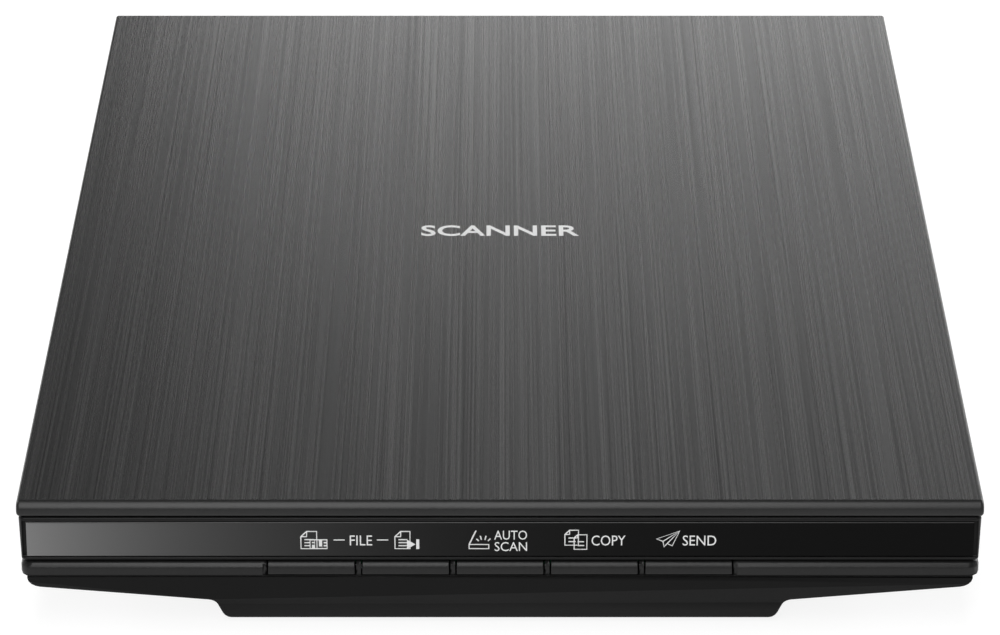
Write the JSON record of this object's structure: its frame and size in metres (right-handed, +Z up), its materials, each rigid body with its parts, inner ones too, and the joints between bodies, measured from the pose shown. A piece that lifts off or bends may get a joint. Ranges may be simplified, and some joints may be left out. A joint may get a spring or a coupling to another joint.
{
  "type": "flatbed scanner",
  "caption": "Slim A4 flatbed document scanner with a lid on lifting hinges, a glass platen, front push buttons and a motorised contact image sensor.",
  "frame": {"origin": "centre of the footprint on the surface the scanner stands on", "axes": "+Z up, +Y from the button side towards the lid's hinges, +X to the right seen from the button side"},
  "size_m": [0.25, 0.367, 0.042],
  "materials": {
    "satin_black_plastic": "moulded satin black",
    "brushed_black_plastic": "fine lines running front to back",
    "gloss_black_panel": "polished black",
    "rubber": "matt",
    "steel": "ground",
    "white_sheet": "matt white",
    "foam": "open foam",
    "black_tape": "matt",
    "clear_glass": "polished float glass",
    "white_nylon": "moulded nylon or acetal",
    "circuit_board": "solder mask",
    "ribbon_cable": "flat flexible cable",
    "chip_black": "moulded epoxy",
    "light_bar": "clear acrylic"
  },
  "bodies": {
    "base": {"lower_casing": "satin_black_plastic", "upper_casing": "satin_black_plastic", "platen_glass": "clear_glass", "platen_tape": "black_tape", "calibration_strip": "white_sheet", "control_panel": "gloss_black_panel", "button_board": "circuit_board", "main_board": "circuit_board", "main_processor": "chip_black", "usb_port": "steel", "ribbon_socket": "ribbon_cable", "panel_ribbon": "ribbon_cable", "carriage_ribbon": "ribbon_cable", "guide_shaft": "steel", "shaft_clip_front": "steel", "shaft_clip_rear": "steel", "drive_rack": "white_nylon", "casing_screw_front_left": "steel", "casing_screw_front_right": "steel", "casing_screw_rear_left": "steel", "casing_screw_rear_right": "steel", "foot_front_left": "rubber", "foot_front_right": "rubber", "foot_rear_left": "rubber", "foot_rear_right": "rubber", "lid_bumper_left": "rubber", "lid_bumper_right": "rubber"},
    "hinge_posts": {"hinge_post_left": "satin_black_plastic", "hinge_post_right": "satin_black_plastic", "hinge_pin_left": "steel", "hinge_pin_right": "steel"},
    "lid": {"lid_cover": "brushed_black_plastic", "lid_liner": "satin_black_plastic", "mat_foam": "foam", "document_mat": "white_sheet", "hinge_bracket_left": "satin_black_plastic", "hinge_bracket_right": "satin_black_plastic"},
    "carriage": {"carriage_frame": "satin_black_plastic", "scan_motor": "steel", "gear_axle": "steel", "bushing_front": "white_nylon", "bushing_rear": "white_nylon", "lift_spring_left": "steel", "lift_spring_right": "steel"},
    "sensor_head": {"sensor_housing": "satin_black_plastic", "lens_array": "light_bar", "light_guide": "light_bar", "sensor_board": "circuit_board", "glass_slider_left": "white_nylon", "glass_slider_right": "white_nylon"},
    "drive_gear_body": {"drive_gear": "white_nylon"},
    "motor_pinion_body": {"motor_pinion": "steel"},
    "transport_lock_body": {"transport_lock": "satin_black_plastic"},
    "file_scan_button_body": {"file_scan_button": "satin_black_plastic"},
    "file_finish_button_body": {"file_finish_button": "satin_black_plastic"},
    "auto_scan_button_body": {"auto_scan_button": "satin_black_plastic"},
    "copy_button_body": {"copy_button": "satin_black_plastic"},
    "send_button_body": {"send_button": "satin_black_plastic"}
  },
  "joints": [
    {"name": "lid_lift", "type": "slide", "parent": "base", "child": "hinge_posts", "axis": [0, 0, 1], "range_m": [0, 0.014]},
    {"name": "lid_open", "type": "hinge", "parent": "hinge_posts", "child": "lid", "pos_m": [0, 0.181, 0.03765], "axis": [-1, 0, 0], "range_deg": [0, 95]},
    {"name": "file_scan_press", "type": "slide", "parent": "base", "child": "file_scan_button_body", "axis": [0, 1, 0], "range_m": [0, 0.0008], "stiffness_N_per_m": 400},
    {"name": "file_finish_press", "type": "slide", "parent": "base", "child": "file_finish_button_body", "axis": [0, 1, 0], "range_m": [0, 0.0008], "stiffness_N_per_m": 400},
    {"name": "auto_scan_press", "type": "slide", "parent": "base", "child": "auto_scan_button_body", "axis": [0, 1, 0], "range_m": [0, 0.0008], "stiffness_N_per_m": 400},
    {"name": "copy_press", "type": "slide", "parent": "base", "child": "copy_button_body", "axis": [0, 1, 0], "range_m": [0, 0.0008], "stiffness_N_per_m": 400},
    {"name": "send_press", "type": "slide", "parent": "base", "child": "send_button_body", "axis": [0, 1, 0], "range_m": [0, 0.0008], "stiffness_N_per_m": 400},
    {"name": "carriage_travel", "type": "slide", "parent": "base", "child": "carriage", "axis": [0, 1, 0], "range_m": [0, 0.303], "deforming": ["carriage_ribbon"]},
    {"name": "sensor_float", "type": "slide", "parent": "carriage", "child": "sensor_head", "axis": [0, 0, 1], "range_m": [-0.0008, 0], "stiffness_N_per_m": 200, "springref_m": 0.005, "deforming": ["lift_spring_left", "lift_spring_right"]},
    {"name": "gear_spin", "type": "hinge", "parent": "carriage", "child": "drive_gear_body", "pos_m": [0.03, -0.154, 0.008], "axis": [0, 0, 1], "continuous": true},
    {"name": "motor_spin", "type": "hinge", "parent": "carriage", "child": "motor_pinion_body", "pos_m": [0.03899, -0.14125, 0.008], "axis": [0, 0, 1], "continuous": true},
    {"name": "lock_slide", "type": "slide", "parent": "base", "child": "transport_lock_body", "axis": [1, 0, 0], "range_m": [0, 0.006]}
  ],
  "couplings": [
    {"joint": "gear_spin", "follows": "carriage_travel", "rad_per_m": -142.86},
    {"joint": "motor_spin", "follows": "carriage_travel", "rad_per_m": 476.19}
  ]
}
